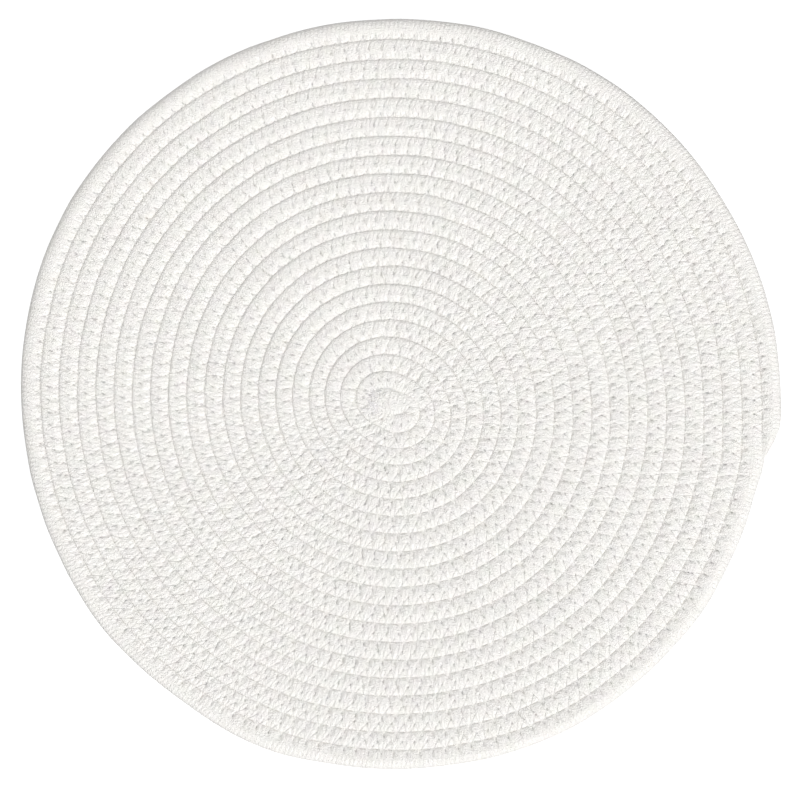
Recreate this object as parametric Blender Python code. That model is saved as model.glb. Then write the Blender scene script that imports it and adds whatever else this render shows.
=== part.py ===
"""Round placemat wound flat from one length of braided cotton rope, each turn sewn to the last.

The coil is one closed solid: a disc whose two faces rise and dip once a turn. Every turn has a
flat crown above and below, and shares its inner seam with the turn inside it. The rope starts in
the middle, winds outward clockwise as seen from above, and tapers onto the last turn at the right.
Metres, +Z up, origin at the middle of the footprint, on the surface that the mat lies on.
"""

import math

import bmesh
import bpy
from mathutils import Vector

# The rope, as it lies sewn into the mat
ROPE_THICKNESS = 0.0070  # from the table to a turn's upper crown
SEAM_DEPTH = 0.0014  # how far a seam lies below the crowns beside it, on each face
CROWN_START = 0.25  # the flat crown's inner edge, as a share of the way across a turn
CROWN_END = 0.75  # and its outer edge

# The winding
TURNS = 20  # turns of rope outside the core
CORE_RADIUS = 0.0108  # outer side of the rope where the first turn starts
TURN_WIDTH = 0.0085  # width of the first turn
WIDTH_GROWTH = 0.000058  # each turn lies this much wider than the one inside it
END_BEARING = math.radians(-2.5)  # where the rope ends, anticlockwise from +X

# How far the winding is from a perfect spiral
OVAL = 0.00146  # every turn reaches this far past round along its long axis, and as much short of it across
OVAL_BEARING = math.radians(-43)  # the long axis, from lower right to upper left
DRIFT = 0.0046  # the outermost turn's centre lies this far from the core's
DRIFT_BEARING = math.radians(53)

# The facets
STATIONS_PER_TURN = 36
STATIONS = TURNS * STATIONS_PER_TURN
ACROSS = (0.0, CROWN_START, CROWN_END, 1.0)  # inner seam, crown, crown, outer seam or rim
WELD = 0.000001  # points closer than this are one

COTTON = (0.90, 0.89, 0.86, 1.0)


def seam_radius(turn):
    """Radius of the rope's outer side after this many turns, before the oval and the drift."""
    return CORE_RADIUS + TURN_WIDTH * turn + WIDTH_GROWTH * turn**2 / 2


def seam_point(turn):
    """The rope's outer side after this many turns, from above. At turn - 1 it is its inner side."""
    radius = seam_radius(turn)
    bearing = END_BEARING + 2 * math.pi * (TURNS - turn)
    stretched = radius + OVAL * math.cos(2 * (bearing - OVAL_BEARING))
    drifted = DRIFT * radius / seam_radius(TURNS)
    return Vector(
        (
            drifted * math.cos(DRIFT_BEARING) + stretched * math.cos(bearing),
            drifted * math.sin(DRIFT_BEARING) + stretched * math.sin(bearing),
            0,
        )
    )


def dip(turn, column):
    """How far this column of the upper face lies below the crown."""
    beside_core = column == 0 and turn < 1
    crown = 0 < column < len(ACROSS) - 1
    if beside_core or crown:
        return 0
    rim = column == len(ACROSS) - 1 and turn > TURNS - 1
    return ROPE_THICKNESS / 2 if rim else SEAM_DEPTH


def face_point(station, column, upper):
    """A point of the mat's upper or lower face."""
    turn = station / STATIONS_PER_TURN
    place = seam_point(turn - 1).lerp(seam_point(turn), ACROSS[column])
    sunk = dip(turn, column)
    place.z = ROPE_THICKNESS - sunk if upper else sunk
    return place


def lay_face(bm, upper):
    """One face of the mat: a long strip of quads wound so that each turn meets the last."""
    columns = len(ACROSS) - 1
    strip = bmesh.ops.create_grid(bm, x_segments=STATIONS, y_segments=columns, size=0.5)
    for vert in strip["verts"]:
        station = round((vert.co.x + 0.5) * STATIONS)
        column = round((vert.co.y + 0.5) * columns)
        vert.co = face_point(station, column, upper)


def rope_end_edges(bm):
    """The open edges of the rope's cut section, where the last turn stops."""
    cut = [face_point(STATIONS, column, upper) for column in range(len(ACROSS)) for upper in (True, False)]

    def on_cut(vert):
        return any((vert.co - point).length < WELD for point in cut)

    return [edge for edge in bm.edges if edge.is_boundary and all(map(on_cut, edge.verts))]


def taper_end(bm):
    """Draws the rope's end down to a point on the rim of the turn inside it, one station on."""
    tip = face_point(STATIONS - STATIONS_PER_TURN + 1, len(ACROSS) - 1, True)
    drawn = bmesh.ops.extrude_edge_only(bm, edges=rope_end_edges(bm))
    ends = [item for item in drawn["geom"] if isinstance(item, bmesh.types.BMVert)]
    bmesh.ops.pointmerge(bm, verts=ends, merge_co=tip)
    bmesh.ops.remove_doubles(bm, verts=bm.verts, dist=WELD)


def centre_footprint(bm):
    """Puts the middle of the mat's footprint at the origin."""
    along_x = [vert.co.x for vert in bm.verts]
    along_y = [vert.co.y for vert in bm.verts]
    middle = Vector((min(along_x) + max(along_x), min(along_y) + max(along_y), 0)) / 2
    bmesh.ops.translate(bm, verts=bm.verts, vec=-middle)


def rope_coil_mesh():
    bm = bmesh.new()
    lay_face(bm, upper=True)
    lay_face(bm, upper=False)
    bmesh.ops.remove_doubles(bm, verts=bm.verts, dist=WELD)
    taper_end(bm)
    bmesh.ops.holes_fill(bm, edges=[edge for edge in bm.edges if edge.is_boundary])
    bmesh.ops.triangulate(bm, faces=bm.faces)
    bmesh.ops.recalc_face_normals(bm, faces=bm.faces)
    centre_footprint(bm)
    mesh = bpy.data.meshes.new("rope_coil")
    bm.to_mesh(mesh)
    bm.free()
    return mesh


def cotton_material():
    material = bpy.data.materials.new("cotton_rope")
    material.use_nodes = True
    shader = material.node_tree.nodes["Principled BSDF"]
    shader.inputs["Base Color"].default_value = COTTON
    shader.inputs["Roughness"].default_value = 0.9
    shader.inputs["Metallic"].default_value = 0.0
    return material


def clear_scene():
    for obj in list(bpy.data.objects):
        bpy.data.objects.remove(obj)


def main():
    clear_scene()
    coil = bpy.data.objects.new("rope_coil", rope_coil_mesh())
    coil.data.materials.append(cotton_material())
    bpy.context.scene.collection.objects.link(coil)


main()
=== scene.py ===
"""Round placemat wound flat from one length of braided cotton rope and sewn with a zigzag thread.

Plan places are complex numbers, x + iy, in metres in the mat's frame. The rope winds outward
clockwise as seen from above. Every piece is laid out straight, as a grid, and then wound.
"""

import math

import bmesh
import bpy
import numpy as np
from bpy.props import FloatProperty, FloatVectorProperty, IntProperty, PointerProperty
from mathutils import Euler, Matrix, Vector
from mathutils.kdtree import KDTree


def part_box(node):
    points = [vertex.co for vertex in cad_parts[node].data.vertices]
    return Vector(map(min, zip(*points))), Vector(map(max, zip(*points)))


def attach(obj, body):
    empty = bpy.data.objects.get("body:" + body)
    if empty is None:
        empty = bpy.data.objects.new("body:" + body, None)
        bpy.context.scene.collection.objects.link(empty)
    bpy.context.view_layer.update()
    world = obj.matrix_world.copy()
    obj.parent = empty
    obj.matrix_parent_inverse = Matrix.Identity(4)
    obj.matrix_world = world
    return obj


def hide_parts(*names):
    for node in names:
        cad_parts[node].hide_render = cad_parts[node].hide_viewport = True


bl_info = {
    "name": "Coiled rope placemat",
    "version": (1, 0, 0),
    "blender": (4, 5, 0),
    "location": "3D View > Sidebar > Placemat",
    "description": "Winds, sews and finishes a round placemat of braided cotton rope",
    "category": "Add Mesh",
}

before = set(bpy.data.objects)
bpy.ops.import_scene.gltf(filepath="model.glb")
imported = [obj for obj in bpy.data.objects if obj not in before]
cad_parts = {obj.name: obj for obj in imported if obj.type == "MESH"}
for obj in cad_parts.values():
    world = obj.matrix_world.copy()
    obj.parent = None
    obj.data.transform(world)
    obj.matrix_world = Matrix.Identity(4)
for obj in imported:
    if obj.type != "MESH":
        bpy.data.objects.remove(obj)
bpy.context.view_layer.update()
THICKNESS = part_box("rope_coil")[1].z  # from the table to the crowns of the turns

# The first stretch of rope, from its cut end to where the spiral takes over, by its middle line:
# it runs right, hooks down round a tight bend and comes back left under itself.
START_RUN = (
    # right, up, width
    (-0.0160, -0.0038, 0.0126),
    (-0.0094, -0.0036, 0.0132),
    (-0.0040, -0.0044, 0.0120),
    (0.0002, -0.0050, 0.0106),
    (0.0040, -0.0063, 0.0084),
    (0.0051, -0.0096, 0.0080),
    (0.0041, -0.0119, 0.0086),
    (0.0012, -0.0138, 0.0095),
    (-0.0035, -0.0147, 0.0093),
)

# Where the side towards the middle lies sewn flush with its neighbour, near the start
FLUSH = (
    # distance along the rope, how flush
    (0.000, 1.0),
    (0.012, 1.0),
    (0.016, 0.0),
    (0.034, 0.0),
    (0.041, 1.0),
    (0.048, 1.0),
    (0.056, 0.0),
    (0.115, 0.0),
    (0.140, 0.3),
    (0.300, 0.3),
    (0.500, 0.0),
)

# How far the winding lies from an even spiral, stretch by stretch
STRETCHES = (
    # turns from the core, further out, further towards -Y
    (-0.35, -0.00025, 0.00030),
    (-0.12, 0.00010, 0.00030),
    (0.0, 0.00040, 0.00030),
    (0.08, 0.00020, 0.00030),
    (0.35, -0.00025, 0.00030),
    (5.5, -0.00040, 0.00050),
    (8.5, -0.00020, 0.00070),
    (11.5, 0.00025, 0.00095),
    (14.5, -0.00005, 0.00095),
    (17.0, -0.00025, 0.00060),
    (18.7, -0.00060, 0.00030),
    (18.95, 0.00000, 0.00030),
    (19.02, 0.00000, 0.00030),
    (19.10, -0.00020, 0.00030),
    (20.0, 0.00000, 0.00000),
)

# Where the rim bulges past a smooth line. The first is just past the rope's tapered end.
RIM_BULGES = (
    # bearing and half the spread in degrees, how far out
    (-10, 4, 0.0027),
    (-21, 9, 0.0015),
    (1, 5, -0.0005),
    (20, 16, 0.0007),
    (37, 5, 0.0003),
    (53, 19, 0.0018),
    (82, 8, 0.0003),
    (148, 20, 0.0009),
    (190, 8, -0.0003),
    (219, 10, 0.0012),
    (248, 11, 0.0022),
    (280, 4, -0.0005),
    (299, 20, 0.0008),
    (325, 6, 0.0013),
)

# The corners of the rope's section, once round from the middle of its upper face. Across is a share
# of the half width, negative towards the mat's middle, and up is a share of half the thickness. The
# first pair is for a side that lies against the next turn, and the second for the mat's free rim.
SECTION = (
    # across, up, rim across, rim up
    (0.00, 1.00, 0.00, 1.00),
    (0.16, 0.99, 0.16, 0.99),
    (0.42, 0.965, 0.42, 0.905),
    (0.68, 0.88, 0.68, 0.725),
    (0.92, 0.82, 0.89, 0.50),
    (1.00, 0.67, 1.00, 0.16),
    (1.00, -0.60, 1.00, -0.24),
    (0.62, -0.92, 0.72, -0.80),
    (0.20, -1.00, 0.20, -1.00),
    (-0.20, -1.00, -0.20, -1.00),
    (-0.62, -0.92, -0.62, -0.92),
    (-1.00, -0.60, -1.00, -0.60),
    (-1.00, 0.64, -1.00, 0.64),
    (-0.88, 0.83, -0.88, 0.83),
    (-0.60, 0.915, -0.60, 0.915),
    (-0.30, 0.98, -0.30, 0.98),
)

# How high each row of a yarn stands, as a share of the yarn's relief. Along the middle line the
# yarns of both sides cross over each other, so that each pitch has two crowns.
YARN_ROWS = (-1.0, 0.3, 0.9, 0.4)
CROSSING_ROWS = (0.7, -0.8, 0.7, -0.8)

# How the yarns differ by chance. The first three are multiples of the rope's unevenness.
POINT_RISE = 0.33  # each point, up or down
YARN_SHIFT = 1.1  # each yarn, along the rope
YARN_RISE = 0.25  # each yarn, up or down
YARN_TONES = (0.5, 0.09)  # each yarn's lightness, its mean and spread, from 0 dull to 1 light
HOLE_PAINTED_SHADE = 1.5  # shade painted into a needle hole: how far its tone is lowered

# How the rope strays slowly along its length
SLOW_STRAYS = (
    # seed, metres from one change to the next, how far
    (12, 0.020, 0.00006),  # in thickness, metres
    (13, 0.012, 0.05),  # of the braid's middle line, as a share of the half width
    (14, 0.030, 0.0005),  # of the yarns along the rope, metres
)

CROSSING_REACH = 0.5  # share of the half width that the crossing yarns take, on either side
FLUSH_RISE = 0.8  # share of its depth by which a flush side is raised
RIM_OUT = 0.5  # share of a yarn's relief that stands outward at the free rim
RIM_DOWN = 0.6  # share of it that no longer stands upward there
LEAST_HALF_WIDTH = 0.00001  # so that nothing is divided by zero where the rope closes
ROPE_CREASE = math.radians(50)  # edges that bend more than this show as creases

# The zigzag seam
SEAM_START = -0.04  # turn at which the sewing starts
SEAM_END = 0.6  # share of the tapered end that it reaches
LIP_SPREAD = 0.05  # how uneven the thread's depth is, as a share of it
PIT_SPREAD = 0.07  # and the needle holes' depth
STRETCH_STEP = 0.05  # metres from one run of stitches to the next
TROUGH_STEPS = 12  # points along each limb at which the trough's depth is known
LIMB_SHARES = (0.0, 0.15, 0.5, 0.85)  # the thread's corners, from needle hole to needle hole
THREAD_SIDES = 4
THREAD_TONE = 0.5  # midway between dull and light

# The thread and the loose yarn ends are both fine tubes
TUBE_GIRTH = 3  # about how many times its thickness a tube measures round
FINE_CREASE = math.radians(120)

# The winding
SPARE_KNOTS = 4  # past the end of a line that wanders slowly
WOBBLE_STEP = 0.011  # turns from one change of the wobble to the next
WOBBLE_GROWTH = 6  # turns over which the wobble grows to its full size
SIDE_STEP = 0.005  # turns from one point of the rope's sides to the next
SEAM_STEP = 0.002  # and of the seam's line
RIM_POINTS = 2000  # points of the rim by which the mat's middle is found
START_STEPS = 24  # points from knot to knot of the rope's start
LEAD_OUT = 8  # points of the spiral on which the start's curve settles

# The loose yarn ends at the rope's cut start
STRAND_ROWS, STRAND_SIDES = 6, 5
STRAND_SPREAD = 0.45  # how far their roots spread, as a share of the tuft's reach
STRAND_BEARINGS = (60, 300)  # between which they point, in degrees
STRAND_BEND = 0.9  # how far they bend sideways, in radians
STRAND_LENGTHS = (0.6, 1.3)  # the shortest and the longest, as shares of the mean
STRAND_TOPS = (0.96, 1.0)  # how high they reach, as shares of the mat's thickness
STRAND_RADII = (0.7, 1.2)  # the thinnest and the thickest, as shares of the mean
STRAND_TAPER = 0.75  # how much thinner they are at the tip
STRAND_CROWN = 0.45  # share of its length at which a loose end stands highest
STRAND_SAG = 4.8  # how steeply it falls away from there, in its own thicknesses
STRAND_TONES = (-0.1, 0.7)  # between dull and light

# Seeds of what is drawn by chance
WOBBLE_SEED, NEEDLE_SEED, STRETCH_SEED, YARN_SEED, TUFT_SEED = 3, 5, 6, 11, 21

# The cotton, seen close. The scales are in noise cells to a metre.
FIBRE_SCALE = (1900, 850, 1)  # along the rope, round it, and out of it
GRAIN_SCALE, PATCH_SCALE, DYE_SCALE = 1500, 90, 130
PAINTED_SHADE_TONE, DULL_TONE, LIGHT_TONE = 0.05, 0.40, 0.58  # where the colour is the painted shade of a needle hole, dull and light
PAINTED_SHADE_SHARE = 0.6  # the colour painted into a needle hole as its shade, as a share of the dull one
DYE_STRENGTH = 0.13
ROPE_RELIEF, THREAD_RELIEF, FRAYED_RELIEF = 0.00098, 0.0006, 0.0008  # of fibres and grain, metres

# The stage
FLOOR_RADIUS, FLOOR_SIDES = 6.0, 96
FLOOR_DROP = 0.0003  # the floor lies this far below the mat's underside
CAMERA_PLACE = (-0.00075, -0.0030, 2.5)
SEEN_WIDTH = 0.39936  # of the picture, at the height of the crowns
SENSOR = 36

WELD = 0.000001  # points closer than this are one


# Sizes and colours ---------------------------------------------------------------------------


def distance(name, description, default):
    """A size in metres, for a user to change."""
    return FloatProperty(
        name=name,
        description=description,
        default=default,
        subtype="DISTANCE",
        unit="LENGTH",
        precision=5,
    )


def direction(name, description, degrees):
    """An angle, for a user to change."""
    return FloatProperty(
        name=name,
        description=description,
        default=math.radians(degrees),
        subtype="ANGLE",
        unit="ROTATION",
    )


def share(name, description, default):
    """A plain number, for a user to change."""
    return FloatProperty(name=name, description=description, default=default)


def colour(name, description, default):
    """A colour, for a user to change."""
    return FloatVectorProperty(
        name=name, description=description, default=default, subtype="COLOR", min=0.0, max=1.0
    )


class WindingSizes(bpy.types.PropertyGroup):
    """How the rope winds, as in the frame's own coil."""

    turns: IntProperty(name="Turns", description="Turns of rope outside the core", default=20)
    core_radius: distance("Core radius", "Outer side of the rope where the first turn starts", 0.0108)
    turn_width: distance("Turn width", "Width of the first turn", 0.0085)
    width_growth: distance("Width growth", "Each turn lies this much wider than the last", 0.000058)
    end_bearing: direction("End bearing", "Where the rope ends, anticlockwise from +X", -2.5)
    oval: distance("Oval", "Every turn reaches this far past round along its long axis", 0.00146)
    oval_bearing: direction("Oval bearing", "The long axis of the oval", -43)
    drift: distance("Drift", "The outermost turn's centre lies this far from the core's", 0.0046)
    drift_bearing: direction("Drift bearing", "Direction of the drift", 53)
    core_lift: distance("Core lift", "The bend at the start pushes the first turns out this far", 0.0012)
    core_oval: distance("Core oval", "And this much more along the rope's start", 0.0013)
    core_bearing: direction("Core bearing", "Direction of the rope's start", -19)
    core_reach: share("Core reach", "Turns over which the push fades away", 3.0)
    rim_share: share("Rim share", "Share of the rim's bulges that the turn inside it follows", 0.4)
    rim_reach: share("Rim reach", "Turns over which the bulges fade inwards", 5.0)
    spiral_start: share("Spiral start", "Turn at which the spiral takes over from the start", 0.33)
    taper: share("Taper", "Share of a turn over which the rope's end narrows to nothing", 0.027)
    wobble: distance("Wobble", "How far the seams stray from a smooth line", 0.00013)


class RopeSizes(bpy.types.PropertyGroup):
    """The braided rope."""

    yarn_pitch: distance("Yarn pitch", "From one braid yarn to the next, along the rope", 0.00217)
    yarn_angle: direction("Yarn angle", "Between a yarn and the rope", 82)
    yarn_relief: distance("Yarn relief", "How far a yarn's crown stands over its edges' mean", 0.00023)
    crossing: share("Crossing", "How far yarns reach over the middle, of the half width", 0.10)
    flattening: share("Flattening", "Share of the yarns' relief pressed flat at the rope's sides", 0.7)
    # The needle holes' shade is painted into the cotton's colour over this width
    painted_hole_shade: distance("Hole shade", "Half the width of the shade in a needle hole", 0.00030)
    cut_round: distance("Cut round", "Length over which the rope's cut start closes", 0.0018)
    unevenness: distance("Unevenness", "How far the yarns stray from their places", 0.00007)
    lengths: IntProperty(name="Lengths", description="Meshes that the rope is divided into", default=4)


class StitchSizes(bpy.types.PropertyGroup):
    """The zigzag seam."""

    stitch_length: distance("Stitch length", "Along the seam, from hole to like hole", 0.00638)
    forward_share: share("Forward share", "Share of the stitch that the outward limb takes", 0.65)
    inner_reach: distance("Inner reach", "From the seam to the inner needle holes", 0.0040)
    outer_reach: distance("Outer reach", "From the seam to the outer needle holes", 0.0021)
    thread: distance("Thread", "Thickness of the sewing thread", 0.00036)
    hole_depth: distance("Hole depth", "How far needle holes lie below the thread beside them", 0.00105)
    inner_pit: share("Inner pit", "Depth of the inner needle holes, as a share of the outer ones'", 0.5)
    gather: share("Gather", "How far the rope is drawn in towards a needle hole", 0.65)
    open_pit: distance("Open pit", "How far an outer needle hole's pit runs on towards the seam", 0.0013)
    hole_width: distance("Hole width", "Half the width of the pit round a needle hole", 0.0008)
    limb_depth: distance("Limb depth", "How far the thread lies below the rope's crowns", 0.00031)
    return_depth: distance("Return depth", "How much deeper the limbs that come back lie", 0.00015)
    press_width: distance("Press width", "Half the width of the trough that the thread presses", 0.0008)
    embedding: share("Embedding", "How far the thread's middle lies below the trough, of its radius", 0.2)
    unevenness: distance("Unevenness", "How far the needle strays from its places", 0.00014)
    stretch: distance("Stretch", "How far whole runs of stitches stray along the seam", 0.0011)


class TuftSizes(bpy.types.PropertyGroup):
    """The frayed yarns at the rope's cut start."""

    strands: IntProperty(name="Strands", description="Number of loose yarn ends", default=110)
    strand_length: distance("Strand length", "Mean length of a loose yarn end", 0.0032)
    strand: distance("Strand", "Thickness of a loose yarn end", 0.00050)
    middle: FloatVectorProperty(
        name="Middle",
        description="Middle of the tuft",
        size=2,
        default=(-0.0124, -0.0044),
        unit="LENGTH",
    )
    reach: FloatVectorProperty(
        name="Reach",
        description="Half its size across and up",
        size=2,
        default=(0.0045, 0.0060),
        unit="LENGTH",
    )


class FinishColours(bpy.types.PropertyGroup):
    """Colours of the cotton, the thread and the stage."""

    cotton: colour("Cotton", "Bleached cotton of the rope", (0.905, 0.888, 0.859))
    cotton_shadow: colour("Duller cotton", "The duller yarns", (0.862, 0.845, 0.816))
    thread: colour("Thread", "Sewing thread", (0.86, 0.85, 0.828))
    frayed: colour("Frayed yarns", "The loose yarn ends at the start", (0.875, 0.862, 0.852))
    floor: colour("Floor", "Plain pale floor", (0.97, 0.97, 0.97))


# The winding ---------------------------------------------------------------------------------


def slow_wander(seed, place, step, size):
    """A slow random drift along a line, with a new size at each step."""
    count = int(np.max(place) / step) + SPARE_KNOTS
    knots = np.random.default_rng(seed).normal(0, size, count)
    return np.interp(place / step, np.arange(count), knots)


def seam_radius(winding, turn):
    """Radius of the rope's outer side after this many turns, before anything pushes it."""
    return winding.core_radius + winding.turn_width * turn + winding.width_growth * turn**2 / 2


def bulge(bearing):
    """How far the rim bulges at each bearing, in radians."""
    total = 0
    for middle, spread, out in RIM_BULGES:
        apart = (np.degrees(bearing) - middle + 180) % 360 - 180
        total = total + out * np.exp(-((apart / spread) ** 2))
    return total


def winding_line(winding, turn):
    """The rope's outer side about the middle of the core."""
    radius = seam_radius(winding, turn)
    bearing = winding.end_bearing + 2 * np.pi * (winding.turns - turn)
    near_rim = np.exp(-(((winding.turns - 1 - turn) / winding.rim_reach) ** 2))
    oval = winding.oval * np.cos(2 * (bearing - winding.oval_bearing))
    push = winding.core_lift + winding.core_oval * np.cos(2 * (bearing - winding.core_bearing))
    push = push * np.exp(-((turn / winding.core_reach) ** 2))
    drift = winding.drift * radius / seam_radius(winding, winding.turns)
    wander = slow_wander(WOBBLE_SEED, np.maximum(turn, 0), WOBBLE_STEP, winding.wobble)
    wander = wander * np.clip(turn / WOBBLE_GROWTH, 0, 1)
    at, further_out, further_down = np.array(STRETCHES).T
    followed = winding.rim_share * near_rim * bulge(bearing) * (turn < winding.turns - 1)
    stretched = radius + oval + push + wander + followed + np.interp(turn, at, further_out)
    middle = drift * np.exp(1j * winding.drift_bearing) - 1j * np.interp(turn, at, further_down)
    return middle + stretched * np.exp(1j * bearing)


def outer_side(winding, turn):
    """Plan place of the rope's outer side after this many turns. At turn - 1 it is its inner side."""
    rim = winding_line(winding, np.linspace(winding.turns - 1, winding.turns, RIM_POINTS))
    middle = (rim.real.min() + rim.real.max()) / 2 + 1j * (rim.imag.min() + rim.imag.max()) / 2
    return winding_line(winding, turn) - middle


def rim_bulge(winding, turn):
    """How far the rope's outer side bulges on the last turn, where it is the mat's rim. The bulges
    set in over half the length of the taper."""
    bearing = winding.end_bearing + 2 * np.pi * (winding.turns - turn)
    return bulge(bearing) * np.clip((turn - winding.turns + 1) / winding.taper * 2, 0, 1)


def run_length(line):
    """Distance along a line, at each of its points."""
    return np.concatenate([[0.0], np.cumsum(np.abs(np.diff(line)))])


def sideways(line):
    """Unit direction across a line at each of its points, to the left of the way it runs."""
    ahead = np.gradient(line)
    return 1j * ahead / np.abs(ahead)


def smooth_run(knots, steps):
    """A smooth line from the second knot to the last but one, which may be plan places or sizes."""
    onward = np.linspace(0, 1, steps, endpoint=False)[None, :]
    a, b, c, d = (knots[i : len(knots) - 3 + i, None] for i in range(4))
    bend = 2 * a - 5 * b + 4 * c - d
    twist = 3 * b - 3 * c + d - a
    return (b + (onward * (c - a) + onward**2 * bend + onward**3 * twist) / 2).ravel()


class Route:
    """The rope's course: its two sides in plan and how thick it is, by the distance along it."""

    def __init__(self, winding, rope):
        turn = np.arange(winding.spiral_start, winding.turns + winding.taper, SIDE_STEP)
        ended = np.clip((turn - winding.turns) / winding.taper, 0, 1)
        self.inner, self.outer = self.sides(winding, turn, ended)
        self.along = run_length((self.inner + self.outer) / 2)
        self.length = self.along[-1]
        before = np.zeros(len(self.along) - len(turn))
        cut = np.clip(1 - self.along / rope.cut_round, 0, 1)
        tip = np.concatenate([before, ended])
        self.fullness = np.sqrt(1 - cut**2) * np.sqrt(np.cos(tip * np.pi / 2))
        uncovered = (turn - (winding.turns - 1)) / winding.taper
        self.rim = np.concatenate([before, np.clip(uncovered, 0, 1)])

    def sides(self, winding, turn, ended):
        """The rope's inner and outer side: the start's own run, and then the spiral."""
        inner, outer = outer_side(winding, turn - 1), outer_side(winding, turn)
        outer = inner + (outer - inner) * np.cos(ended * np.pi / 2) ** 2
        outer = outer + sideways(outer) * rim_bulge(winding, turn) * (1 - ended)
        start = np.array(START_RUN)
        middle = np.append(start[:, 0] + 1j * start[:, 1], (inner[0] + outer[0]) / 2)
        reach = sideways(middle)[:-1] * start[:, 2] / 2
        joined = []
        for knot, side in ((middle[:-1] - reach, inner), (middle[:-1] + reach, outer)):
            lead_in = 2 * knot[0] - knot[1]
            line = np.concatenate([[lead_in], knot, side[[0, LEAD_OUT]]])
            joined.append(np.concatenate([smooth_run(line, START_STEPS), side]))
        return joined

    def at(self, along, values):
        """What lies at a distance along the rope, of values that are known all along it."""
        return np.interp(along, self.along, values)

    def place(self, along, across):
        """Plan place at a distance along the rope, and across it from -1 inside to 1 outside."""
        inner = self.at(along, self.inner.real) + 1j * self.at(along, self.inner.imag)
        outer = self.at(along, self.outer.real) + 1j * self.at(along, self.outer.imag)
        full = self.at(along, self.fullness) ** 0.5
        return (inner + outer) / 2 + (outer - inner) / 2 * across * full

    def width(self, along):
        """The rope's width at a distance along it."""
        return np.abs(self.place(along, 1.0) - self.place(along, -1.0))


# The zigzag ----------------------------------------------------------------------------------


def plan_tree(places):
    """A search tree of plan places."""
    tree = KDTree(len(places))
    for index, place in enumerate(places):
        tree.insert((place.real, place.imag, 0), index)
    tree.balance()
    return tree


def nearest(tree, places):
    """Which of a tree's places is nearest to each of these, and how far off it is."""
    found = [tree.find((place.real, place.imag, 0))[1:] for place in places]
    index, reach = np.array(found).T
    return index.astype(int), reach


class Zigzag:
    """The seam's needle holes, how deep the thread lies at each, and how it presses the rope."""

    def __init__(self, winding, stitch):
        rng = np.random.default_rng(NEEDLE_SEED)
        self.stitch = stitch
        self.holes = self.needle_holes(winding, rng)
        count = len(self.holes)
        outer = np.arange(count) % 2 == 1
        self.lip = stitch.limb_depth * (1 + rng.normal(0, LIP_SPREAD, count))
        pit = stitch.hole_depth * np.where(outer, 1.0, stitch.inner_pit)
        self.bottom = self.lip + pit * (1 + rng.normal(0, PIT_SPREAD, count))
        self.open = np.where(outer, stitch.open_pit, 0.0)
        self.extra = np.where(outer, stitch.return_depth, 0.0)
        self.tree, self.depth = self.trough()
        self.hole_tree = plan_tree(self.holes)

    def needle_holes(self, winding, rng):
        """Plan places of the holes, inner and outer in turn, from the core to the rope's end."""
        stitch = self.stitch
        turn = np.arange(SEAM_START, winding.turns - 1 + winding.taper * SEAM_END, SEAM_STEP)
        seam = outer_side(winding, turn)
        along = run_length(seam)
        count = int(along[-1] / stitch.stitch_length)
        inner_at = np.arange(count) * stitch.stitch_length
        outer_at = inner_at + stitch.forward_share * stitch.stitch_length
        at = np.stack([inner_at, outer_at], axis=1).ravel()
        stretched = slow_wander(STRETCH_SEED, at, STRETCH_STEP, stitch.stretch)
        at = at + rng.normal(0, stitch.unevenness, len(at)) + stretched
        reach = np.tile([-stitch.inner_reach, stitch.outer_reach], count)
        reach = reach + rng.normal(0, stitch.unevenness, len(at))
        place = np.interp(at, along, seam.real) + 1j * np.interp(at, along, seam.imag)
        outward = sideways(seam)
        outward = np.interp(at, along, outward.real) + 1j * np.interp(at, along, outward.imag)
        return place + outward * reach

    def along_limbs(self, shares):
        """Plan places at these shares of every limb, with the thread's depth there. Each limb dips
        into the holes at its ends, and stays down for a short way beside an outer hole."""
        onward = np.array(shares)
        place = self.holes[:-1, None] + np.diff(self.holes)[:, None] * onward
        depth = self.lip[:-1, None] + np.diff(self.lip)[:, None] * onward + self.extra[:-1, None]
        length = np.abs(np.diff(self.holes))[:, None]
        for ends, way in ((slice(None, -1), onward), (slice(1, None), 1 - onward)):
            reach = np.clip(length * way - self.open[ends, None], 0, None)
            pull = np.exp(-((reach / self.stitch.hole_width) ** 2))
            depth = depth + (self.bottom[ends, None] - depth) * pull
        return place, depth

    def trough(self):
        """The pressed troughs, as a tree of plan places, and how deep each lies."""
        place, depth = self.along_limbs(np.arange(TROUGH_STEPS) / TROUGH_STEPS)
        return plan_tree(place.ravel()), depth.ravel()

    def gathered(self, place):
        """These plan places, drawn in towards the needle hole that is nearest to each, and how far
        from it each one ends up."""
        index, reach = nearest(self.hole_tree, place)
        pull = self.stitch.gather * np.exp(-((reach / self.stitch.hole_width) ** 2))
        return place + (self.holes[index] - place) * pull, reach * (1 - pull)

    def pressed(self, place, drop):
        """How deep the rope is pressed at these plan places, where it lies this far below its crown."""
        index, reach = nearest(self.tree, place)
        sunk = np.clip(self.depth[index] - drop, 0, None)
        return sunk * np.exp(-((reach / self.stitch.press_width) ** 2))


# Meshes --------------------------------------------------------------------------------------


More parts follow.
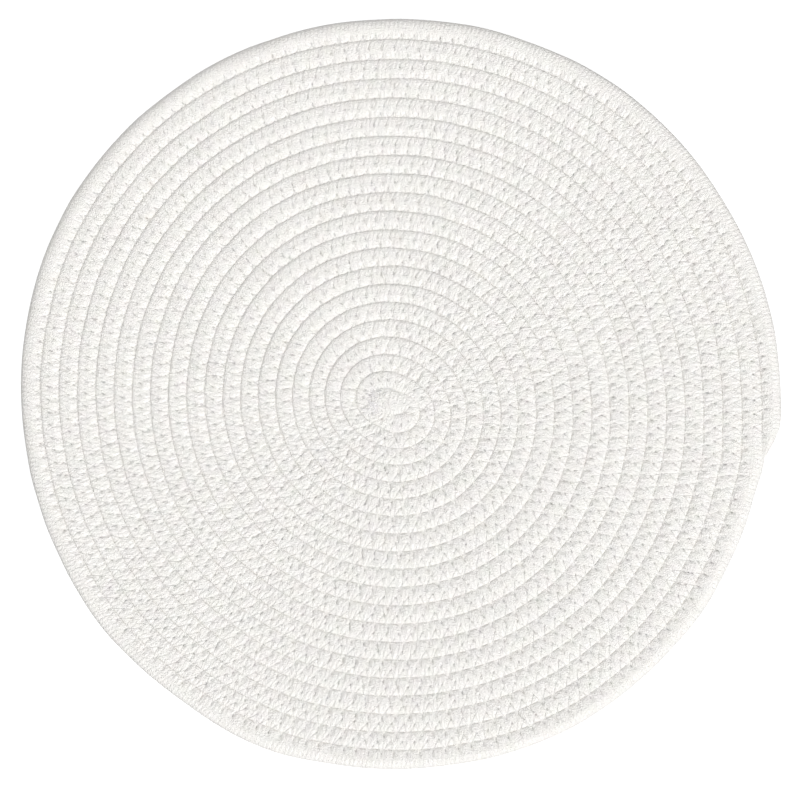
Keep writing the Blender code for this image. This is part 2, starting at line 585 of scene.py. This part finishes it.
def wound_tube(name, rows, columns, put, uv_size):
    """A closed tube. A flat grid of rows by columns is put where put(row, column) says, its long
    edges are joined, and its ends are closed. put also says how light each point is."""
    bm = bmesh.new()
    bm.loops.layers.uv.new("along_yarn")
    bmesh.ops.create_grid(bm, x_segments=rows, y_segments=columns, size=0.5, calc_uvs=True)
    mesh = bpy.data.meshes.new(name)
    bm.to_mesh(mesh)
    bm.free()
    flat = np.empty(len(mesh.vertices) * 3)
    mesh.vertices.foreach_get("co", flat)
    flat = flat.reshape(-1, 3)
    row = np.rint((flat[:, 0] + 0.5) * rows).astype(int)
    column = np.rint((flat[:, 1] + 0.5) * columns).astype(int) % columns
    place, tone = put(row, column)
    mesh.vertices.foreach_set("co", place.ravel())
    mesh.attributes.new("tone", "FLOAT", "POINT").data.foreach_set("value", tone)
    uv_map = mesh.uv_layers["along_yarn"].uv
    uv = np.empty(len(uv_map) * 2)
    uv_map.foreach_get("vector", uv)
    uv_map.foreach_set("vector", (uv.reshape(-1, 2) * uv_size).ravel())
    bm = bmesh.new()
    bm.from_mesh(mesh)
    bmesh.ops.remove_doubles(bm, verts=bm.verts, dist=WELD)
    bmesh.ops.holes_fill(bm, edges=[edge for edge in bm.edges if edge.is_boundary])
    bm.to_mesh(mesh)
    bm.free()
    return mesh


def add_piece(mesh, material, crease):
    """Puts a finished mesh in the scene, riding on the mat's body and standing for its coil."""
    mesh.materials.append(material)
    mesh.shade_smooth()
    mesh.set_sharp_from_angle(angle=crease)
    piece = bpy.data.objects.new(mesh.name, mesh)
    bpy.context.scene.collection.objects.link(piece)
    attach(piece, "root")
    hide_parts("rope_coil")
    return piece


# The braided rope ----------------------------------------------------------------------------


class Braid:
    """The rope's surface: a grid whose rows follow the yarns and whose columns run along the rope."""

    def __init__(self, winding, rope, zigzag):
        self.rope, self.zigzag = rope, zigzag
        self.route = Route(winding, rope)
        self.across, self.up, self.rim_across, self.rim_up = np.array(SECTION).T
        self.columns = len(SECTION)
        self.half_thick = THICKNESS / 2 - rope.yarn_relief
        self.pitch_rows = len(YARN_ROWS)
        self.row_step = rope.yarn_pitch / self.pitch_rows
        corner = self.across * winding.turn_width / 2 + 1j * self.up * self.half_thick
        self.girth = run_length(np.append(corner, corner[0]))
        reach = np.minimum(self.girth, self.girth[-1] - self.girth)
        self.lag = reach / math.tan(rope.yarn_angle)
        spare = math.ceil(self.lag.max() / self.row_step / self.pitch_rows)
        self.first_row = -spare * self.pitch_rows
        yarns = math.ceil(self.route.length / rope.yarn_pitch) + spare
        self.rows_each = math.ceil(yarns / rope.lengths) * self.pitch_rows
        self.scatter(self.rows_each * rope.lengths + 1)

    def scatter(self, rows):
        """Draws everything that is uneven about the yarns."""
        rng = np.random.default_rng(YARN_SEED)
        uneven = self.rope.unevenness
        self.stray = rng.normal(0, uneven, (rows, self.columns))
        self.rise = rng.normal(0, uneven * POINT_RISE, (rows, self.columns))
        yarns = (rows // self.pitch_rows + 2, 2)
        self.yarn_shift = rng.normal(0, uneven * YARN_SHIFT, yarns)
        self.yarn_rise = rng.normal(0, uneven * YARN_RISE, yarns)
        self.yarn_tone = rng.normal(*YARN_TONES, yarns)
        middle = np.arange(rows) * self.row_step
        strays = [slow_wander(seed, middle, step, size) for seed, step, size in SLOW_STRAYS]
        self.swell, self.sway, self.creep = strays

    def yarn_of(self, row, column):
        """Each point's yarn and the side of the rope that the yarn lies on, and its row in the yarn."""
        side = (self.across[column] < 0).astype(int)
        shifted = row + side * self.pitch_rows // 2
        return shifted // self.pitch_rows, side, shifted % self.pitch_rows

    def relief(self, row, column):
        """How far the surface stands out at each point, from the yarns alone."""
        yarn, side, row_in_yarn = self.yarn_of(row, column)
        high = np.array(YARN_ROWS)[row_in_yarn]
        crossing = np.array(CROSSING_ROWS)[row % self.pitch_rows]
        high = np.where(self.across[column] == 0, crossing, high)
        return high * self.rope.yarn_relief + self.yarn_rise[yarn, side] + self.rise[row, column]

    def along_rope(self, row, column):
        """How far along the rope each point lies."""
        yarn, side, _ = self.yarn_of(row, column)
        along = (row + self.first_row) * self.row_step + self.lag[column]
        along = along + self.creep[row] + self.stray[row, column] + self.yarn_shift[yarn, side]
        return np.clip(along, 0, self.route.length)

    def section_at(self, along, row, column, rim):
        """Where each point lies in the rope's section: how far across and how far up."""
        across = self.across[column] * (1 - rim) + self.rim_across[column] * rim
        up = self.up[column] * (1 - rim) + self.rim_up[column] * rim
        flush = np.interp(along, *np.array(FLUSH).T) * (across < 0) * (up > 0)
        up = up + (1 - up) * flush * FLUSH_RISE
        centre = np.clip(1 - np.abs(across) / CROSSING_REACH, 0, 1)
        lean = np.cos(row * 2 * np.pi / self.pitch_rows) * self.rope.crossing
        across = across + (lean * centre**2 + self.sway[row] * (1 - across**2)) * (up > 0)
        return across, up

    def places(self, row, column):
        """Where each point of the rope's surface lies, wound, braided, pressed and sewn, and how light it
        is: each yarn differs a little, and shade is painted into the needle holes."""
        along = self.along_rope(row, column)
        rim = self.route.at(along, self.route.rim)
        full = self.route.at(along, self.route.fullness)
        across, up = self.section_at(along, row, column, rim)
        stand = self.relief(row, column) * full * (1 - self.rope.flattening * np.abs(across) ** 4)
        outward = np.where(across > 0, rim, 0) * across**5
        half_width = np.maximum(self.route.width(along) / 2, LEAST_HALF_WIDTH)
        place = self.route.place(along, across + outward * stand * RIM_OUT / half_width)
        place, reach = self.zigzag.gathered(place)
        drop = (1 - np.abs(up)) * self.half_thick
        sunk = self.zigzag.pressed(place, drop) * full - self.swell[row] * (1 - drop / THICKNESS * 2)
        raised = up * self.half_thick * full
        raised = raised + np.sign(up) * (stand * (1 - RIM_DOWN * outward) - sunk)
        height = np.maximum(THICKNESS / 2 + raised, 0)
        yarn, side, _ = self.yarn_of(row, column)
        # painted shade: near a needle hole the tone is lowered, to stand for depth the mesh is too coarse
        # to show
        hole = np.exp(-((reach / self.rope.painted_hole_shade) ** 2)) * (up > 0)
        tone = self.yarn_tone[yarn, side] - HOLE_PAINTED_SHADE * hole
        return np.stack([place.real, place.imag, height], axis=1), tone

    def length_mesh(self, index):
        """One of the lengths that the rope is divided into, a closed mesh like the whole."""
        first = index * self.rows_each

        def put(row, column):
            return self.places(row + first, column)

        uv_size = (self.rows_each * self.row_step, self.girth[-1])
        return wound_tube(f"rope_length_{index + 1}", self.rows_each, self.columns, put, uv_size)


# The sewing thread ---------------------------------------------------------------------------


def thread_mesh(zigzag, name, upper):
    """The thread on one face of the mat: a fine tube that dips into each needle hole."""
    place, depth = zigzag.along_limbs(LIMB_SHARES)
    radius = zigzag.stitch.thread / 2
    place, depth = place.ravel(), depth.ravel() + radius * zigzag.stitch.embedding
    height = THICKNESS - depth if upper else depth
    line = np.stack([place.real, place.imag, height], axis=1)
    ahead = np.gradient(line, axis=0)
    side = np.cross((0, 0, 1), ahead)
    side = side / np.linalg.norm(side, axis=1)[:, None]
    up = np.cross(ahead, side)
    up = up / np.linalg.norm(up, axis=1)[:, None]

    def put(row, column):
        round_it = (column * 2 * np.pi / THREAD_SIDES)[:, None]
        place = line[row] + radius * (np.cos(round_it) * up[row] - np.sin(round_it) * side[row])
        return place, np.full(len(row), THREAD_TONE)

    uv_size = (run_length(place)[-1], zigzag.stitch.thread * TUBE_GIRTH)
    return wound_tube(name, len(line) - 1, THREAD_SIDES, put, uv_size)


# The frayed start ----------------------------------------------------------------------------


def strand_mesh(tuft, rng):
    """One of the loose yarn ends at the rope's cut start, a tapered tube that bends over."""
    spot = rng.normal(0, STRAND_SPREAD, 2)
    root = complex(*tuft.middle) + complex(spot[0] * tuft.reach[0], spot[1] * tuft.reach[1])
    bearing = math.radians(rng.uniform(*STRAND_BEARINGS))
    bend = rng.normal(0, STRAND_BEND)
    length = tuft.strand_length * rng.uniform(*STRAND_LENGTHS)
    onward = np.linspace(0, 1, STRAND_ROWS + 1)
    ahead = np.exp(1j * (bearing + bend * onward))
    line = root + np.cumsum(ahead) * length / STRAND_ROWS
    top = THICKNESS * rng.uniform(*STRAND_TOPS)
    height = top - tuft.strand * STRAND_SAG * (onward - STRAND_CROWN) ** 2
    radius = tuft.strand / 2 * rng.uniform(*STRAND_RADII) * (1 - STRAND_TAPER * onward**2)
    lightness = rng.uniform(*STRAND_TONES)

    def put(row, column):
        turned = column * 2 * np.pi / STRAND_SIDES
        place = line[row] - 1j * ahead[row] * np.sin(turned) * radius[row]
        raised = height[row] + np.cos(turned) * radius[row]
        return np.stack([place.real, place.imag, raised], axis=1), np.full(len(row), lightness)

    return wound_tube("strand", STRAND_ROWS, STRAND_SIDES, put, (length, tuft.strand * TUBE_GIRTH))


def tuft_mesh(tuft):
    """All the loose yarn ends, as one mesh."""
    rng = np.random.default_rng(TUFT_SEED)
    bm = bmesh.new()
    for _ in range(tuft.strands):
        strand = strand_mesh(tuft, rng)
        bm.from_mesh(strand)
        bpy.data.meshes.remove(strand)
    mesh = bpy.data.meshes.new("frayed_start")
    bm.to_mesh(mesh)
    bm.free()
    return mesh


# Materials -----------------------------------------------------------------------------------


def noise(tree, place, scale, detail, roughness=0.5):
    """A noise over these places."""
    made = tree.nodes.new("ShaderNodeTexNoise")
    made.inputs["Scale"].default_value = scale
    made.inputs["Detail"].default_value = detail
    made.inputs["Roughness"].default_value = roughness
    tree.links.new(place, made.inputs["Vector"])
    return made


def mean_node(tree, sources):
    """The mean of several values, as one output."""
    total = sources[0]
    for source in sources[1:]:
        adding = tree.nodes.new("ShaderNodeMath")
        tree.links.new(total, adding.inputs[0])
        tree.links.new(source, adding.inputs[1])
        total = adding.outputs[0]
    dividing = tree.nodes.new("ShaderNodeMath")
    dividing.operation = "DIVIDE"
    dividing.inputs[1].default_value = len(sources)
    tree.links.new(total, dividing.inputs[0])
    return dividing.outputs[0]


def along_yarns(tree):
    """The piece's own UV map, with its first axis along the rope, scaled to the size of fibres."""
    uv = tree.nodes.new("ShaderNodeUVMap")
    uv.uv_map = "along_yarn"
    stretch = tree.nodes.new("ShaderNodeMapping")
    stretch.inputs["Scale"].default_value = FIBRE_SCALE
    tree.links.new(uv.outputs["UV"], stretch.inputs["Vector"])
    return stretch.outputs["Vector"]


def toned(tree, fac, light, dull):
    """Dull to light cotton, and a much darker one for values near zero: the shade painted into the needle
    holes.
    """
    ramp = tree.nodes.new("ShaderNodeValToRGB")
    stops = ramp.color_ramp.elements
    stops[0].position = DULL_TONE
    stops[0].color = (*dull, 1)
    stops[1].position = LIGHT_TONE
    stops[1].color = (*light, 1)
    # painted shade for the needle holes
    stops.new(PAINTED_SHADE_TONE).color = (*(part * PAINTED_SHADE_SHARE for part in dull), 1)
    tree.links.new(fac, ramp.inputs["Fac"])
    return ramp.outputs["Color"]


def dyed(tree, colour, place):
    """This colour with a faint uneven dye laid over it."""
    dye = noise(tree, place, scale=DYE_SCALE, detail=2)
    mixed = tree.nodes.new("ShaderNodeMix")
    mixed.data_type = "RGBA"
    mixed.blend_type = "OVERLAY"
    mixed.inputs["Factor"].default_value = DYE_STRENGTH
    tree.links.new(colour, mixed.inputs["A"])
    tree.links.new(dye.outputs["Color"], mixed.inputs["B"])
    return mixed.outputs["Result"]


def cotton_material(name, light, dull, relief):
    """Matt cotton with fibres along each yarn, a crinkled grain and a tone that differs from yarn to
    yarn, as the tone attribute says; on the rope the tone attribute also carries shade painted into the
    needle holes. The fibres and the grain stand out by the relief."""
    material = bpy.data.materials.new(name)
    material.use_nodes = True
    tree = material.node_tree
    shader = tree.nodes["Principled BSDF"]
    shader.inputs["Roughness"].default_value = 0.92
    shader.inputs["Specular IOR Level"].default_value = 0.25
    shader.inputs["Sheen Weight"].default_value = 0.15
    shader.inputs["Sheen Roughness"].default_value = 0.5
    place = tree.nodes.new("ShaderNodeTexCoord").outputs["Object"]
    fibres = noise(tree, along_yarns(tree), scale=1, detail=1, roughness=0.6).outputs["Fac"]
    grain = noise(tree, place, scale=GRAIN_SCALE, detail=0).outputs["Fac"]
    patches = noise(tree, place, scale=PATCH_SCALE, detail=4, roughness=0.6).outputs["Fac"]
    # the tone attribute: each yarn's own tone, and on the rope the painted shade of the needle holes
    yarn = tree.nodes.new("ShaderNodeAttribute")
    yarn.attribute_name = "tone"
    tone = toned(tree, mean_node(tree, [patches, yarn.outputs["Fac"], fibres]), light, dull)
    tree.links.new(dyed(tree, tone, place), shader.inputs["Base Color"])
    bump = tree.nodes.new("ShaderNodeBump")
    bump.inputs["Distance"].default_value = relief
    tree.links.new(mean_node(tree, [fibres, grain]), bump.inputs["Height"])
    tree.links.new(bump.outputs["Normal"], shader.inputs["Normal"])
    return material


# The operators -------------------------------------------------------------------------------


class BraidedRope(bpy.types.Operator):
    """Winds the braided rope, in a few lengths that meet end to end"""

    bl_idname = "placemat.braided_rope"
    bl_label = "Braided rope"

    def execute(self, context):
        scene = context.scene
        zigzag = Zigzag(scene.placemat_winding, scene.placemat_stitch)
        braid = Braid(scene.placemat_winding, scene.placemat_rope, zigzag)
        colours = scene.placemat_colours
        cotton = cotton_material("braided_cotton", colours.cotton, colours.cotton_shadow, ROPE_RELIEF)
        for index in range(braid.rope.lengths):
            piece = add_piece(braid.length_mesh(index), cotton, ROPE_CREASE)
        return {"FINISHED"}


class SewingThread(bpy.types.Operator):
    """Sews the turns together with a zigzag thread, above and below"""

    bl_idname = "placemat.sewing_thread"
    bl_label = "Sewing thread"

    def execute(self, context):
        scene = context.scene
        zigzag = Zigzag(scene.placemat_winding, scene.placemat_stitch)
        colours = scene.placemat_colours
        thread = cotton_material("sewing_thread", colours.thread, colours.thread, THREAD_RELIEF)
        for name, upper in (("thread_above", True), ("thread_below", False)):
            add_piece(thread_mesh(zigzag, name, upper), thread, FINE_CREASE)
        return {"FINISHED"}


class FrayedStart(bpy.types.Operator):
    """Frays the rope's cut start, in the middle of the mat"""

    bl_idname = "placemat.frayed_start"
    bl_label = "Frayed start"

    def execute(self, context):
        scene = context.scene
        frayed = scene.placemat_colours.frayed
        cotton = cotton_material("frayed_cotton", frayed, frayed, FRAYED_RELIEF)
        add_piece(tuft_mesh(scene.placemat_tuft), cotton, FINE_CREASE)
        return {"FINISHED"}


class Stage(bpy.types.Operator):
    """Lays the floor, hangs the lights and sets the camera straight above the mat"""

    bl_idname = "placemat.stage"
    bl_label = "Stage"

    def execute(self, context):
        scene = context.scene
        lay_floor(scene.placemat_colours.floor)
        hang_lights(scene)
        set_camera(scene)
        scene.view_settings.view_transform = "Standard"
        return {"FINISHED"}


def lay_floor(colour):
    """A plain round floor, lit a little from within so that it stays white."""
    bm = bmesh.new()
    bmesh.ops.create_circle(bm, cap_ends=True, segments=FLOOR_SIDES, radius=FLOOR_RADIUS)
    bmesh.ops.translate(bm, verts=bm.verts, vec=(0, 0, -FLOOR_DROP))
    mesh = bpy.data.meshes.new("floor")
    bm.to_mesh(mesh)
    bm.free()
    material = bpy.data.materials.new("floor")
    material.use_nodes = True
    shader = material.node_tree.nodes["Principled BSDF"]
    shader.inputs["Base Color"].default_value = (*colour, 1)
    shader.inputs["Roughness"].default_value = 0.9
    shader.inputs["Emission Color"].default_value = (1, 1, 1, 1)
    shader.inputs["Emission Strength"].default_value = 0.45
    mesh.materials.append(material)
    floor = bpy.data.objects.new("floor", mesh)
    floor.visible_diffuse = False
    bpy.context.scene.collection.objects.link(floor)


def hang_lights(scene):
    """A pale surround, a soft key from the lower right and a very soft light from overhead."""
    world = bpy.data.worlds.new("studio")
    world.use_nodes = True
    background = world.node_tree.nodes["Background"]
    background.inputs["Color"].default_value = (1, 1, 1, 1)
    background.inputs["Strength"].default_value = 0.38
    scene.world = world
    hang_light(scene, "key", energy=2.10, softness=25, bearing=-54, elevation=37)
    hang_light(scene, "overhead", energy=1.15, softness=70, bearing=124, elevation=78)


def hang_light(scene, name, energy, softness, bearing, elevation):
    """A soft light from far off. Its softness, bearing and elevation are in degrees."""
    sun = bpy.data.lights.new(name, "SUN")
    sun.energy = energy
    sun.angle = math.radians(softness)
    light = bpy.data.objects.new(name, sun)
    toward = Vector((1, 0, 0))
    toward.rotate(Euler((0, -math.radians(elevation), math.radians(bearing))))
    light.rotation_euler = toward.to_track_quat("Z", "Y").to_euler()
    scene.collection.objects.link(light)


def set_camera(scene):
    """A camera straight above the mat, looking down, with the mat a little off its middle."""
    camera = bpy.data.cameras.new("camera")
    camera.sensor_width = SENSOR
    camera.lens = SENSOR * (CAMERA_PLACE[2] - THICKNESS) / SEEN_WIDTH
    held = bpy.data.objects.new("camera", camera)
    held.location = CAMERA_PLACE
    scene.collection.objects.link(held)
    scene.camera = held


class PlacematPanel(bpy.types.Panel):
    """The placemat's sizes, colours and pieces"""

    bl_idname = "VIEW3D_PT_placemat"
    bl_label = "Placemat"
    bl_space_type = "VIEW_3D"
    bl_region_type = "UI"
    bl_category = "Placemat"

    def draw(self, context):
        for operator in OPERATORS:
            self.layout.operator(operator.bl_idname)
        for name, group in GROUPS.items():
            settings = getattr(context.scene, name)
            for prop in group.__annotations__:
                self.layout.prop(settings, prop)


OPERATORS = (BraidedRope, SewingThread, FrayedStart, Stage)
GROUPS = {
    "placemat_winding": WindingSizes,
    "placemat_rope": RopeSizes,
    "placemat_stitch": StitchSizes,
    "placemat_tuft": TuftSizes,
    "placemat_colours": FinishColours,
}


def register():
    for part in (*GROUPS.values(), *OPERATORS, PlacematPanel):
        bpy.utils.register_class(part)
    for name, group in GROUPS.items():
        setattr(bpy.types.Scene, name, PointerProperty(type=group))


def unregister():
    for name in GROUPS:
        delattr(bpy.types.Scene, name)
    for part in (PlacematPanel, *OPERATORS, *GROUPS.values()):
        bpy.utils.unregister_class(part)


def main():
    register()
    bpy.ops.placemat.braided_rope()
    bpy.ops.placemat.sewing_thread()
    bpy.ops.placemat.frayed_start()
    bpy.ops.placemat.stage()


if __name__ == "__main__":
    main()
